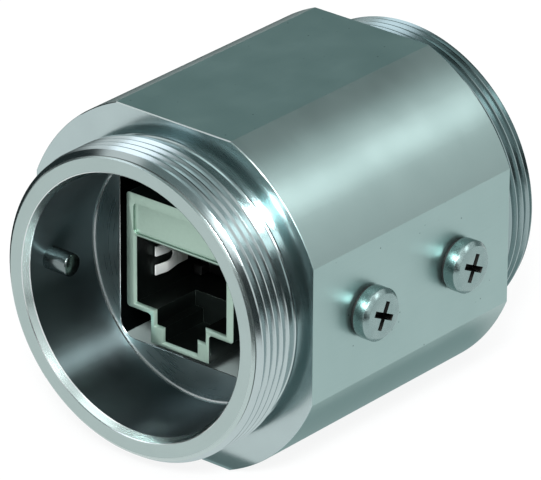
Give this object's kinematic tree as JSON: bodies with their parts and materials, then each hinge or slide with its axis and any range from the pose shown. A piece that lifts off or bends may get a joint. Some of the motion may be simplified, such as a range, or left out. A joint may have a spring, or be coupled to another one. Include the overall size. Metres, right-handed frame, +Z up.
{
  "type": "rj45 inline coupler",
  "caption": "Stainless-steel inline coupler that joins two shielded RJ45 plugs, with a threaded spigot and a keyed socket at each end.",
  "frame": {"origin": "on the axis of the housing, half-way along its length", "axes": "+Y along the axis towards the rear end, +X out of the flat that holds the two screws, +Z up, with the latch side of both ports down"},
  "size_m": [0.0392, 0.0456, 0.037],
  "materials": {
    "stainless_steel": "turned and ground stainless steel",
    "pin_steel": "ground dowel steel",
    "nickel_plated_casting": "matt nickel plate on a die casting",
    "black_nylon": "moulded, black",
    "gold_plated_wire": "gold-plated bronze wire",
    "spring_strip": "bright rolled spring strip",
    "screw_steel": "nickel-plated steel",
    "seal_rubber": "moulded, black",
    "insert_brass": "turned brass",
    "board_laminate": "green solder mask on laminate"
  },
  "bodies": {
    "root": {"housing": "stainless_steel", "key_pin_front": "pin_steel", "jack_shell_front": "nickel_plated_casting", "contact_block_front": "black_nylon", "contact_front_1": "gold_plated_wire", "contact_front_2": "gold_plated_wire", "contact_front_3": "gold_plated_wire", "contact_front_4": "gold_plated_wire", "contact_front_5": "gold_plated_wire", "contact_front_6": "gold_plated_wire", "contact_front_7": "gold_plated_wire", "contact_front_8": "gold_plated_wire", "shield_spring_front_left": "spring_strip", "shield_spring_front_right": "spring_strip", "clamp_screw_front": "screw_steel", "screw_seal_front": "seal_rubber", "threaded_insert_front": "insert_brass", "key_pin_rear": "pin_steel", "jack_shell_rear": "nickel_plated_casting", "contact_block_rear": "black_nylon", "contact_rear_1": "gold_plated_wire", "contact_rear_2": "gold_plated_wire", "contact_rear_3": "gold_plated_wire", "contact_rear_4": "gold_plated_wire", "contact_rear_5": "gold_plated_wire", "contact_rear_6": "gold_plated_wire", "contact_rear_7": "gold_plated_wire", "contact_rear_8": "gold_plated_wire", "shield_spring_rear_left": "spring_strip", "shield_spring_rear_right": "spring_strip", "clamp_screw_rear": "screw_steel", "screw_seal_rear": "seal_rubber", "threaded_insert_rear": "insert_brass", "insert_carrier": "black_nylon", "circuit_board": "board_laminate"}
  },
  "joints": []
}
